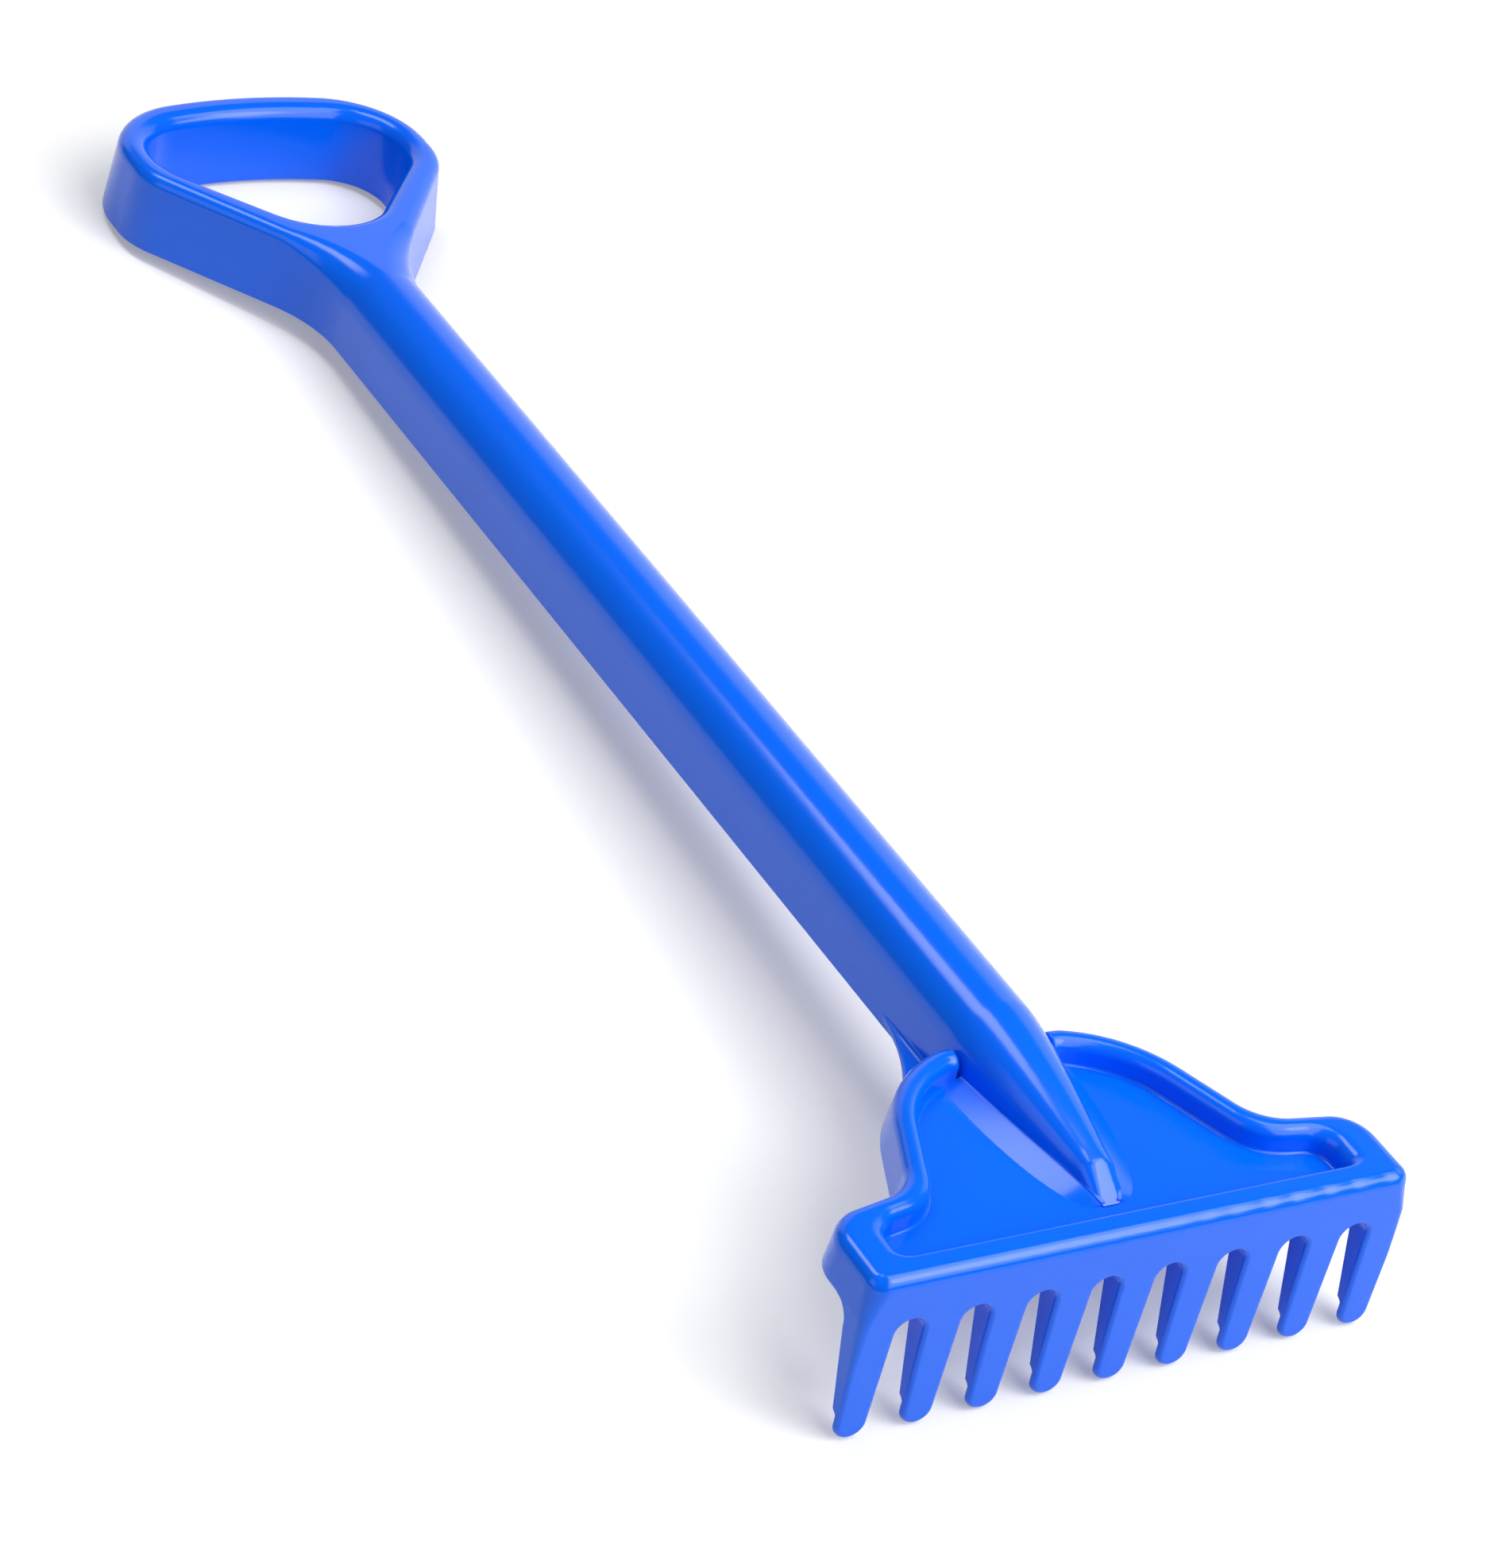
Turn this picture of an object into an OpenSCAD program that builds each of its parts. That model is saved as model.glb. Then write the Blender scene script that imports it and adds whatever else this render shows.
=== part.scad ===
// Child's sand rake: one plastic moulding, modelled as its features.
// x runs across the head, y from the tines to the hand grip, z up from the tine tips.
// Lengths are in millimetres and angles in degrees.

/* [Overall] */
// Length from the front wall to the far edge of the grip
overall_len = 503; // [460:1:620]
// Height from the tine tips to the top of the head's rim
head_h = 44; // [40:0.5:60]
// Thickness of the moulded walls
wall = 1.8; // [1.4:0.1:2]
// Lean of the outer walls, which lets the moulding leave its mould
draft = 6; // [2:0.5:7]

/* [Tines] */
// Distance from one tine to the next
tine_pitch = 16.8; // [16.4:0.1:18]
// Width of a tine where the slots' round tops start
tine_w = 9.4; // [8.6:0.1:10]
// Width of a tine at its round tip
tip_w = 8; // [6.6:0.1:8.4]
// Thickness of a tine's blade
blade_t = 1.5; // [1.2:0.1:2]
// Thickness of the ribs along the edges of a tine
rib_t = 1.5; // [1.2:0.1:2]
// Depth of those ribs at the top, from the front of the blade
rib_top_d = 6.6; // [5:0.1:8]
// Depth of those ribs where they end near the tip
rib_end_d = 2.6; // [2.3:0.1:4]
// Height of the ribs' lower ends above the tip
rib_end_z = 7.4; // [6:0.1:10]

/* [Head] */
// Distance from the rim's top down to the tops of the slots
slot_drop = 12.4; // [12.4:0.1:16]
// Width of the raised rim and of the front border
rim_w = 6.1; // [5.8:0.1:7]
// Radius along the rim's top edges
rim_round = 2.5; // [2.2:0.1:2.7]
// Depth of the plate below the rim's top
recess = 6.6; // [5:0.1:7]
// Thickness of the plate
plate_t = 1.8; // [1.4:0.1:2.2]
// Height of the skirt below the rim's top
skirt_h = 10.7; // [10.2:0.1:10.8]
// Distance from the front wall to the back of the end pads, at the sides
pad_y = 23.4; // [22:0.2:26]
// Distance from the front wall to the rim's inward bend
bend_y = 27.7; // [27:0.1:30]
// Distance from the front wall to the rim's ends at the shaft
rim_end_y = 68.4; // [68:0.1:69]
// Length of straight rim at the shaft
end_run = 1.1; // [0.6:0.1:2]
// Radius of the turn from there into the rim's back, outside
end_r = 10; // [9:0.5:12]
// Slope of the rim's back, away from straight across
back_slope = 22; // [18:0.2:26]
// Length of straight rim along the back
back_run = 1.4; // [0.8:0.1:3]
// Radius of the rim's shoulder, outside
shoulder_r = 35; // [30:0.5:42]
// Slope of the rim's sides, away from straight across
side_slope = 67.6; // [64:0.2:72]
// Radius of the rim's inward bend, outside
bend_r = 12.5; // [10:0.5:14]
// Radius of the end pads' corners
pad_r = 6.7; // [5:0.1:8]
// Radius of those corners along the pocket
pad_pocket_r = 2.5; // [1.5:0.1:3]
// Radius of the head's front corners
front_r = 2.5; // [1.5:0.1:3]
// Radius of the pocket's front corners
pocket_r = 5.5; // [4:0.1:6]
// Straight length of the cheeks on either side of those corners
cheek_run = 1.2; // [0.8:0.1:2]
// Thickness of the webs behind the rim
web_t = 1.8; // [1.4:0.1:2.2]
// Distance from the front wall to the end of those webs
web_end_y = 92; // [86:0.5:98]
// Distance from the shaft's side to the pull of the webs' hollow edge
web_pull_x = 2.5; // [1:0.1:4]
// Distance from the rim's shoulder back to that pull
web_pull_y = 12; // [8:0.5:14]
// Distance from the rim's shoulder in to the webs' corner
web_corner_x = 3; // [2:0.1:4]
// Distance from the rim's shoulder back to the webs' corner
web_corner_y = 1.6; // [1:0.1:2]

/* [Shaft] */
// Radius of the shaft's round crown
crown_r = 12; // [11.6:0.1:12.6]
// Height of the shaft's crown above the rim's top
crown_rise = 8.4; // [7:0.1:10]
// Distance from the rim's top down to the shaft's open lower edge
shaft_drop = 13.4; // [13:0.1:15]
// Distance from the front wall to the start of the straight shaft
root_y = 70.2; // [69.6:0.1:72]
// Distance from the front wall to the tip of the nose
nose_tip_y = 15.7; // [14:0.1:18]
// Length of the nose's flat, sloping front
nose_front_run = 7.8; // [6:0.1:9]
// Half width of the nose where its flat front starts
nose_front_half = 4.9; // [4:0.1:6]
// Half width of the nose at its tip
nose_tip_half = 2; // [1.5:0.1:3]
// Fall of the crown from the shaft to the nose's flat front
nose_fall = 8.4; // [7:0.1:9]
// Greatest width of the sloping flank on either side of the nose
flank_w = 7; // [4:0.1:7.4]
// Greatest height of that flank against the nose
flank_h = 1.6; // [1:0.1:2.4]

/* [Grip] */
// Half width of the grip at its widest, below the rounded edge
grip_half_w = 46.6; // [44:0.1:52]
// Width of the grip's bar, below the rounded edges
bar_w = 8.4; // [8:0.1:10]
// Radius of the gentle curve of the far bar
far_bow_r = 130; // [110:1:160]
// Angle by which the far bar falls away towards its corners
far_turn = 9.7; // [8:0.1:11]
// Radius of the grip's far corners
far_corner_r = 28; // [24:0.5:30]
// Distance from the grip's far edge to the bends into the arms, outside
side_run = 41.2; // [40:0.1:44]
// Radius of the bends into the arms, outside
arm_bend_r = 20; // [14:0.5:24]
// Distance from the grip's far edge to the meeting of the arms' and the shaft's sides
fork_run = 89.7; // [88:0.1:94]
// Radius of the flare between an arm and the shaft
flare_r = 44; // [36:0.5:48]
// Distance from the grip's far edge to the bends of the hand opening
opening_side_run = 38.3; // [37:0.1:41]
// Half width of the hand opening at its near end, before the corners are rounded
opening_end_half = 8.2; // [6:0.1:10]
// Distance from the grip's far edge to the near end of the hand opening
opening_run = 73.7; // [71:0.1:75]
// Radius of the bends of the hand opening
opening_bend_r = 14; // [10:0.5:16]

/* [Fits] */
// Gap between the rim's ends and the shaft's sides
end_gap = 0.2; // [0.1:0.1:0.4]

/* [Hidden] */
$fn = 64;
tine_count = 9;

// Heights
rim_top = head_h;
plate_top = rim_top - recess;
plate_foot = plate_top - plate_t;
skirt_foot = rim_top - skirt_h;
slot_r = (tine_pitch - tine_w) / 2;
slot_spring = rim_top - slot_drop - slot_r;
crown_top = rim_top + crown_rise;
crown_spring = crown_top - crown_r;
shaft_foot = rim_top - shaft_drop;

// Widths and lengths that follow
lean = tan(draft);
half_head = ((tine_count - 1) * tine_pitch + tine_w) / 2;
half_rim = half_head - lean * (rim_top - rim_round - skirt_foot);
shaft_half = crown_r + lean * (crown_spring - shaft_foot);
ring_r = 0.44 * bar_w;
far_y = overall_len - lean * (crown_top - ring_r - shaft_foot);
steps = 6;

// Plan geometry: a station is a point of an outline with the direction of travel there

function unit(v) = v / norm(v);
function left_of(v) = [-v.y, v.x];
function turned(v, a) = [v.x * cos(a) - v.y * sin(a), v.x * sin(a) + v.y * cos(a)];
function reversed(list) = [for (i = [len(list) - 1 : -1 : 0]) list[i]];
function part_of(list, first, last) = [for (i = [first : last]) list[i]];

// Arc of radius r that rounds the corner b between a and c
function corner(a, b, c, r) =
    let (
        in = unit(b - a),
        out = unit(c - b),
        turn = atan2(in.x * out.y - in.y * out.x, in * out),
        start = b - r * tan(abs(turn) / 2) * in,
        centre = start + sign(turn) * r * left_of(in)
    )
    [for (i = [0 : steps])
        let (t = turn * i / steps) [centre + turned(start - centre, t), turned(in, t)]];

// Stations from the first point of p along the arcs that round its inner corners
function outline(p, r) =
    concat(
        [[p[0], unit(p[1] - p[0])]],
        [for (i = [1 : len(p) - 2]) each corner(p[i - 1], p[i], p[i + 1], r[i - 1])]
    );

// Points p moved by d to the right of the way that they run
function moved(p, d) =
    let (last = len(p) - 1)
    [for (i = [0 : last])
        let (
            before = -left_of(unit(i == 0 ? p[1] - p[0] : p[i] - p[i - 1])),
            after = -left_of(unit(i == last ? p[i] - p[i - 1] : p[i + 1] - p[i]))
        )
        p[i] + d * (before + after) / (1 + before * after)];

// Troughs: open below, between an outer outline and an inner one

// A wall and the rounded edge over it, from its foot up, moved inwards by t
function wall_edge(station, side, r, top, foot, slope, t) =
    let (
        inward = side * left_of(station[1]),
        at = station[0] + t * inward,
        round = r - t,
        spring = top - r,
        base = at - slope * (spring - foot) * inward
    )
    concat(
        [[base.x, base.y, foot]],
        [for (i = [0 : steps])
            let (a = 90 * i / steps, p = at + round * (1 - cos(a)) * inward)
            [p.x, p.y, spring + round * sin(a)]]
    );

function tile(a, b, c, d) = [[c, b, a], [d, c, a]];

// Closed solid between an outside grid of points and an inside one
module shell(outside, inside) {
    rows = len(outside);
    cols = len(outside[0]);
    lift = rows * cols;
    points = concat([for (row = outside) each row], [for (row = inside) each row]);
    skin = [for (i = [0 : rows - 2], j = [0 : cols - 2])
        let (a = i * cols + j) each tile(a, a + 1, a + cols + 1, a + cols)];
    lining = [for (i = [0 : rows - 2], j = [0 : cols - 2])
        let (a = lift + i * cols + j) each tile(a, a + cols, a + cols + 1, a + 1)];
    feet = [for (i = [0 : rows - 2], j = [0, cols - 1])
        let (a = i * cols + j, b = a + cols)
        each j == 0 ? tile(a, b, b + lift, a + lift) : tile(b, a, a + lift, b + lift)];
    ends = [for (j = [0 : cols - 2], i = [0, rows - 1])
        let (a = i * cols + j, b = a + 1)
        each i == 0 ? tile(b, a, a + lift, b + lift) : tile(a, b, b + lift, a + lift)];
    polyhedron(points, concat(skin, lining, feet, ends));
}

// Grip: half of the loop, from the middle of the far bar round to the shaft

bow_x = far_bow_r * tan(far_turn / 2);
far_corner_y = far_y - (grip_half_w - bow_x) * tan(far_turn);
arm_way = unit([crown_r - grip_half_w, side_run - fork_run]);
flare_y = far_y - fork_run - flare_r * tan(asin(-arm_way.x) / 2);
grip_points = [
    [0, far_y], [bow_x, far_y], [grip_half_w, far_corner_y], [grip_half_w, far_y - side_run],
    [crown_r, far_y - fork_run], [crown_r, flare_y]
];
grip_outer = outline(grip_points, [far_bow_r, far_corner_r, arm_bend_r, flare_r]);

opening_half = grip_half_w - bar_w;
opening_near = far_y - opening_run;
opening_slope = atan2(opening_half - opening_end_half, opening_run - opening_side_run);
opening_end_r = opening_end_half / tan((90 - opening_slope) / 2);
opening_far = part_of(moved(grip_points, bar_w), 0, 2);
grip_inner = outline(
    concat(opening_far, [
        [opening_half, far_y - opening_side_run], [opening_end_half, opening_near],
        [-opening_end_half, opening_near]
    ]),
    [far_bow_r - bar_w, far_corner_r - bar_w, opening_bend_r, opening_end_r]);

bar_last = 2 * (steps + 1);
flare_first = 3 * (steps + 1) + 1;
flare_last = flare_first + steps;

// Section of the grip at station k, moved inwards by t
function grip_row(k, t) =
    let (
        blend = max(0, (k - flare_first) / steps),
        r = ring_r + (crown_r - ring_r) * blend
    )
    concat(
        wall_edge(grip_outer[k], -1, r, crown_top, shaft_foot, lean, t),
        reversed(wall_edge(grip_inner[k], 1, ring_r, crown_top, shaft_foot, lean, t))
    );

function flipped(row) = [for (p = row) [-p.x, p.y, p.z]];

function bar_rows(t) =
    concat(
        [for (k = [bar_last : -1 : 2]) flipped(grip_row(k, t))],
        [for (k = [1 : bar_last]) grip_row(k, t)]
    );
function arm_rows(t) = [for (k = [bar_last : flare_last]) grip_row(k, t)];

module grip_bar() place() shell(bar_rows(0), bar_rows(wall));

module grip_arm() shell(arm_rows(0), arm_rows(wall));

module grip_right_arm() place() grip_arm();

module grip_left_arm() place() mirror([1, 0, 0]) grip_arm();

// Shaft and nose

module shaft_shape(t) {
    half = shaft_half - t;
    r = crown_r - t;
    translate([0, crown_spring]) intersection() {
        circle(r);
        translate([-r, 0]) square([2 * r, r]);
    }
    polygon([[-half, shaft_foot], [half, shaft_foot], [r, crown_spring], [-r, crown_spring]]);
}

module shaft() place()
    translate([0, flare_y, 0]) rotate([90, 0, 0])
        linear_extrude(flare_y - root_y) difference() {
            shaft_shape(0);
            shaft_shape(wall);
        }

nose_front_y = nose_tip_y + nose_front_run;
nose_front_top = crown_top - nose_fall;
flank_start_y = rim_end_y - rim_w;
nose_ys = concat(
    [root_y],
    [for (i = [0 : 9]) flank_start_y + (nose_front_y - flank_start_y) * i / 9],
    [for (i = [1 : 5]) nose_front_y - nose_front_run * (1 - pow(1 - i / 5, 1.6))]
);

// How far along the nose y lies, from 0 at the shaft to 1 at the flat front
function nose_share(y) = max(0, min(1, (root_y - y) / (root_y - nose_front_y)));
// Half width of the nose
function nose_half(y) =
    y >= nose_front_y
        ? crown_r + (nose_front_half - crown_r) * pow(nose_share(y), 1.5)
        : nose_tip_half + (nose_front_half - nose_tip_half)
            * sqrt((y - nose_tip_y) / nose_front_run);
// Height of the nose's crown, and of the slope that cuts its front
function nose_top(y) = crown_top - nose_fall * pow(nose_share(y), 1.3);
function nose_cap(y) =
    plate_top + 0.3 + (nose_front_top - plate_top - 0.3) * (y - nose_tip_y) / nose_front_run;
// Width of the flank beside the nose
function flank(y) =
    let (u = max(0, min(1, (y - nose_tip_y) / (flank_start_y - nose_tip_y))))
    y > flank_start_y ? 0.1 : max(0.1, flank_w * pow(4 * u * (1 - u), 0.35));

// Both halves of a section at y, from the list of x and z along its right half
function both_sides(edge, y) =
    concat(
        [for (p = edge) [p[0], y, p[1]]],
        [for (i = [len(edge) - 2 : -1 : 0]) [-edge[i][0], y, edge[i][1]]]
    );

// Outside of the nose at y
function nose_row(y) =
    let (
        h = nose_half(y),
        spring = nose_top(y) - h,
        f = flank(y),
        rise = 0.1 + flank_h * f / flank_w
    )
    both_sides(concat(
        [[h + f, plate_foot], [h + f, plate_top], [h + f / 2, plate_top + rise / 2], [h, plate_top + rise]],
        [for (i = [0 : steps])
            let (a = 90 * i / steps, low = plate_top + rise + 0.05 * (i + 1))
            [h * cos(a), min(nose_cap(y), max(spring + h * sin(a), low))]]
    ), y);

// Hollow of the nose, which stops short of the flat front
function hollow_row(y) =
    let (
        at = root_y + (y - root_y) * (root_y - nose_front_y + 2) / (root_y - nose_tip_y),
        h = nose_half(at) - wall,
        roof = min(nose_top(at) - wall, nose_cap(at) - 1.4 * wall),
        spring = max(roof - h, plate_foot + 1)
    )
    both_sides(concat(
        [for (i = [0 : 3]) [h, plate_foot + (spring - plate_foot) * i / 4]],
        [for (i = [0 : steps])
            let (a = 90 * i / steps) [h * cos(a), spring + (roof - spring) * sin(a)]]
    ), at);

module shaft_nose() place()
    shell([for (y = nose_ys) nose_row(y)], [for (y = nose_ys) hollow_row(y)]);

// Head: the rim's right half, from the shaft out to the side and round to the front

rim_start = [shaft_half + end_gap, rim_end_y];
end_reach = end_r * tan(back_slope / 2);
shoulder_reach = shoulder_r * tan((side_slope - back_slope) / 2);
rim_turn = rim_start + [end_run + end_reach, 0];
shoulder = rim_turn + (end_reach + back_run + shoulder_reach) * [cos(back_slope), -sin(back_slope)];
bend = [shoulder.x + (shoulder.y - bend_y) / tan(side_slope), bend_y];
rim_points = [rim_start, rim_turn, shoulder, bend, [half_rim, pad_y], [half_rim, 0], [0, 0]];
rim_inner_points = moved(rim_points, rim_w);
// Places where the rim ends and the cheeks start, and where these end at the front border
cut_reach = rim_w + pocket_r + cheek_run;
cut_y = cut_reach;
cut_x = half_rim - cut_reach;
rim_outer = outline(rim_points, [end_r, shoulder_r, bend_r, pad_r, front_r]);
rim_inner = outline(
    rim_inner_points, [end_r - rim_w, shoulder_r - rim_w, bend_r + rim_w, pad_pocket_r, pocket_r]);
rim_last = 4 * (steps + 1);

// Section of the rim between an outer station o and an inner one i, moved inwards by t
function rim_row(o, i, t) =
    concat(
        wall_edge(o, -1, rim_round, rim_top, skirt_foot, lean * min(1, 1 + o[1].x), t),
        reversed(wall_edge(i, 1, rim_round, rim_top, plate_foot, 0, t))
    );
function side_cut(x) = [[x, cut_y], [0, -1]];
function front_cut(x, y) = [[x, y], [-1, 0]];

function rim_rows(t) =
    concat(
        [for (k = [0 : rim_last]) rim_row(rim_outer[k], rim_inner[k], t)],
        [rim_row(side_cut(half_rim), side_cut(half_rim - rim_w), t)]
    );
function cheek_rows(t) =
    concat(
        [rim_row(side_cut(half_rim), side_cut(half_rim - rim_w), t)],
        [for (k = [rim_last + 1 : rim_last + steps + 1]) rim_row(rim_outer[k], rim_inner[k], t)],
        [rim_row(front_cut(cut_x, 0), front_cut(cut_x, rim_w), t)]
    );
function border_rows(t) =
    [for (x = [cut_x, -cut_x]) rim_row(front_cut(x, 0), front_cut(x, rim_w), t)];

module rim() shell(rim_rows(0), rim_rows(wall));

module cheek() shell(cheek_rows(0), cheek_rows(wall));

module right_rim() place() rim();

module left_rim() place() mirror([1, 0, 0]) rim();

module right_cheek() place() cheek();

module left_cheek() place() mirror([1, 0, 0]) cheek();

module front_border() place() shell(border_rows(0), border_rows(wall));

module head_plate() place()
    translate([0, 0, plate_foot]) linear_extrude(plate_t) difference() {
        half = [for (s = rim_inner) s[0]];
        polygon(concat(half, [for (p = reversed(half)) [-p.x, p.y]]));
        edge = [for (y = nose_ys) [nose_half(y) + flank(y), y]];
        polygon(concat(edge, [for (p = reversed(edge)) [-p.x, p.y]]));
    }

module web() {
    start = [shaft_half, web_end_y];
    pull = [shaft_half + web_pull_x, shoulder.y + web_pull_y];
    end = shoulder + [-web_corner_x, web_corner_y];
    translate([0, 0, skirt_foot - web_t]) linear_extrude(web_t)
        polygon(concat(
            [for (i = [0 : 8])
                let (u = i / 8) (1 - u) * (1 - u) * start + 2 * u * (1 - u) * pull + u * u * end],
            [[end.x - web_corner_y, shoulder.y], [shaft_half, rim_end_y - wall]]
        ));
}

module right_web() place() web();

module left_web() place() mirror([1, 0, 0]) web();

// Tines

module across() rotate([90, 0, 0]) children();

function slot_x(i) = (i - tine_count / 2) * tine_pitch;
function tine_x(i) = (i - (tine_count + 1) / 2) * tine_pitch;

module bar_plan() {
    straight = half_head - front_r;
    difference() {
        union() {
            translate([-straight, 0]) square([2 * straight, rib_top_d]);
            translate([-half_head, front_r]) square([2 * half_head, rib_top_d - front_r]);
            for (s = [-1, 1]) translate([s * straight, front_r]) circle(front_r);
        }
        translate([rib_t - half_head, wall]) square([2 * (half_head - rib_t), rib_top_d]);
    }
}

module tine_bar() place() {
    difference() {
        translate([0, 0, slot_spring]) linear_extrude(skirt_foot - slot_spring) bar_plan();
        for (i = [1 : tine_count - 1])
            translate([slot_x(i), rib_top_d, slot_spring]) across() cylinder(rib_top_d, r = slot_r);
    }
    for (i = [1 : tine_count - 1])
        translate([slot_x(i), rib_top_d, slot_spring]) across() linear_extrude(rib_top_d)
            difference() {
                circle(slot_r + rib_t);
                circle(slot_r);
                translate([-tine_pitch, -2 * tine_pitch]) square(2 * tine_pitch);
            }
}

module tine_shape(inset) {
    tip_r = tip_w / 2;
    top = tine_w / 2 - inset;
    low = tip_r - inset;
    translate([0, tip_r]) circle(low);
    polygon([[-low, tip_r], [low, tip_r], [top, slot_spring], [-top, slot_spring]]);
}

module tine(i) place() translate([tine_x(i), 0, 0]) {
    translate([0, blade_t, 0]) across() linear_extrude(blade_t) tine_shape(0);
    intersection() {
        translate([0, rib_top_d, 0]) across() linear_extrude(rib_top_d) difference() {
            tine_shape(0);
            tine_shape(rib_t);
        }
        rotate([90, 0, 90]) translate([0, 0, -tine_w]) linear_extrude(2 * tine_w) polygon([
            [0, rib_end_z], [rib_end_d, rib_end_z], [rib_top_d, slot_spring], [0, slot_spring]
        ]);
    }
}

// Moves the model's origin to the middle of its length
module place() translate([0, -overall_len / 2, 0]) color("#1666ed") children();

grip_bar();
grip_left_arm();
grip_right_arm();
shaft();
shaft_nose();
head_plate();
left_rim();
right_rim();
left_web();
right_web();
left_cheek();
right_cheek();
front_border();
tine_bar();
tine(1);  // tine_1
tine(2);  // tine_2
tine(3);  // tine_3
tine(4);  // tine_4
tine(5);  // tine_5
tine(6);  // tine_6
tine(7);  // tine_7
tine(8);  // tine_8
tine(9);  // tine_9
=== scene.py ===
# %% [markdown]
# # A child's sand rake
# The rake is one moulding of blue polypropylene: a D-shaped hand loop, a channel shaft, and a head with a
# raised rim and nine tines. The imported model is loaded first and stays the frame: sizes that it holds are
# read from it, so the dressed pieces lie where the solids lie.

# %% Load the frame
from math import atan, radians, tan

import bmesh
import bpy
import numpy as np
from mathutils import Matrix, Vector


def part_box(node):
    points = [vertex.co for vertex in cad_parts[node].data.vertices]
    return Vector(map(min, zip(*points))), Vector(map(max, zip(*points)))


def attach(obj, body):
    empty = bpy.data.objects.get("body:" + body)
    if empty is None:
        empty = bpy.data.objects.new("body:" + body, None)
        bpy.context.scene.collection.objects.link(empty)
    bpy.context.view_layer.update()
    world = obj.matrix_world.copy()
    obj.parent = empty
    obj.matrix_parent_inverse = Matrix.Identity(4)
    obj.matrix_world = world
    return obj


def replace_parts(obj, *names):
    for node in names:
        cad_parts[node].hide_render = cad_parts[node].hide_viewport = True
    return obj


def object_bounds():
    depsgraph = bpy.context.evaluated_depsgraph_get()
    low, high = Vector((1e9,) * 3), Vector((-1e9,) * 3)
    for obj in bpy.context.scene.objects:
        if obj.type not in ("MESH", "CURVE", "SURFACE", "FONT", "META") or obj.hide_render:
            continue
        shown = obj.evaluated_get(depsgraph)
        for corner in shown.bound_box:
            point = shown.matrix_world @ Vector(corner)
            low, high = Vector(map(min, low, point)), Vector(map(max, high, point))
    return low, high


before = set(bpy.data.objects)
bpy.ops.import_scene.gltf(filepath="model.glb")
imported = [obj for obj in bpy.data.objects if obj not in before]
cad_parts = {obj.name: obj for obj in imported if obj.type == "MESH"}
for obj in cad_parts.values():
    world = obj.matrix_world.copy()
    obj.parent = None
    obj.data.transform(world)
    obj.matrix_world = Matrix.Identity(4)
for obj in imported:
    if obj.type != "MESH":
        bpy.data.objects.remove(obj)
cad_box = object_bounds()
MM = 0.001
LENGTH = (cad_box[1].y - cad_box[0].y) / MM
print("frame:", len(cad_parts), "nodes, length", round(LENGTH, 1), "mm")

# %% [markdown]
# All shapes below are worked out in millimetres, with x across the head, y from the front wall towards the
# grip, and z up from the tine tips. The frame's y is zero at the middle of the rake, so one function reads
# a node's box into these coordinates, and another puts finished points back.


# %% Millimetres and the frame
def box_mm(node):
    """Lowest and highest corner of a CAD node in millimetres, with y counted from the front wall."""
    return np.array([list(corner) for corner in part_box(node)]) / MM + [0, LENGTH / 2, 0]


def in_frame(points):
    """Points in millimetres from the front wall, turned into the frame's metres."""
    return (points - [0, LENGTH / 2, 0]) * MM


shaft_low, shaft_high = box_mm("shaft")
plate_low, plate_high = box_mm("head_plate")
border_low, border_high = box_mm("front_border")
bar_low, bar_high = box_mm("tine_bar")

SHAFT_HALF, CROWN_TOP, SHAFT_FOOT = shaft_high[0], shaft_high[2], shaft_low[2]
ROOT_Y, FLARE_Y = shaft_low[1], shaft_high[1]
PLATE_TOP, PLATE_FOOT = plate_high[2], plate_low[2]
RIM_TOP, SKIRT_FOOT = border_high[2], border_low[2]
HALF_HEAD, SLOT_SPRING, RIB_TOP = bar_high[0], bar_low[2], bar_high[1]

TINES = [f"tine_{i}" for i in range(1, 10)]
RIB_T = 1.5
tine_boxes = np.array([box_mm(tine) for tine in TINES])
tine_x = tine_boxes[:, :, 0].mean(axis=1)
tine_w = tine_boxes[0, 1, 0] - tine_boxes[0, 0, 0]
rib_x = (tine_x[:, None] + np.array([-0.5, 0.5]) * (tine_w - RIB_T)).ravel()
print("crown", CROWN_TOP, "rim", RIM_TOP, "plate", PLATE_TOP, "tines", len(tine_x), "ribs", len(rib_x))

# %% [markdown]
# Seen from above, the loop, the rim and the pocket are outlines of straight stretches and round corners. So
# an outline is kept as a few corners with a radius each, and the points of its arcs are worked out, with the
# direction of travel at each point, because a wall is later set square to that direction.

# %% Outlines seen from above
STEPS = 16


def quarter_turn(steps):
    """Angles from nothing to a right angle, in equal steps."""
    return np.linspace(0, np.pi / 2, steps + 1)


def unit(v):
    """Each vector of v divided by its length."""
    return v / np.linalg.norm(v, axis=-1, keepdims=True)


def left_of(v):
    """Each vector of v turned by a quarter turn to the left: (x, y) becomes (-y, x)."""
    return np.stack([-v[..., 1], v[..., 0]], axis=-1)


def turned(v, angle):
    """The vector v turned by each of the angles."""
    c, s = np.cos(angle), np.sin(angle)
    return np.stack([v[0] * c - v[1] * s, v[0] * s + v[1] * c], axis=-1)


def corner_arc(a, b, c, r):
    """Arc that rounds the corner b between a and c, as points and directions of travel.

    It starts at the distance r tan(turn / 2) before b, and its points are the start, turned about the
    centre by equal shares of the corner's turn.
    """
    before, after = unit(b - a), unit(c - b)
    turn = np.arctan2(before[0] * after[1] - before[1] * after[0], before @ after)
    start = b - r * tan(abs(turn) / 2) * before
    centre = start + np.sign(turn) * r * left_of(before)
    angles = turn * np.linspace(0, 1, STEPS + 1)
    return centre + turned(start - centre, angles), turned(before, angles)


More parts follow.
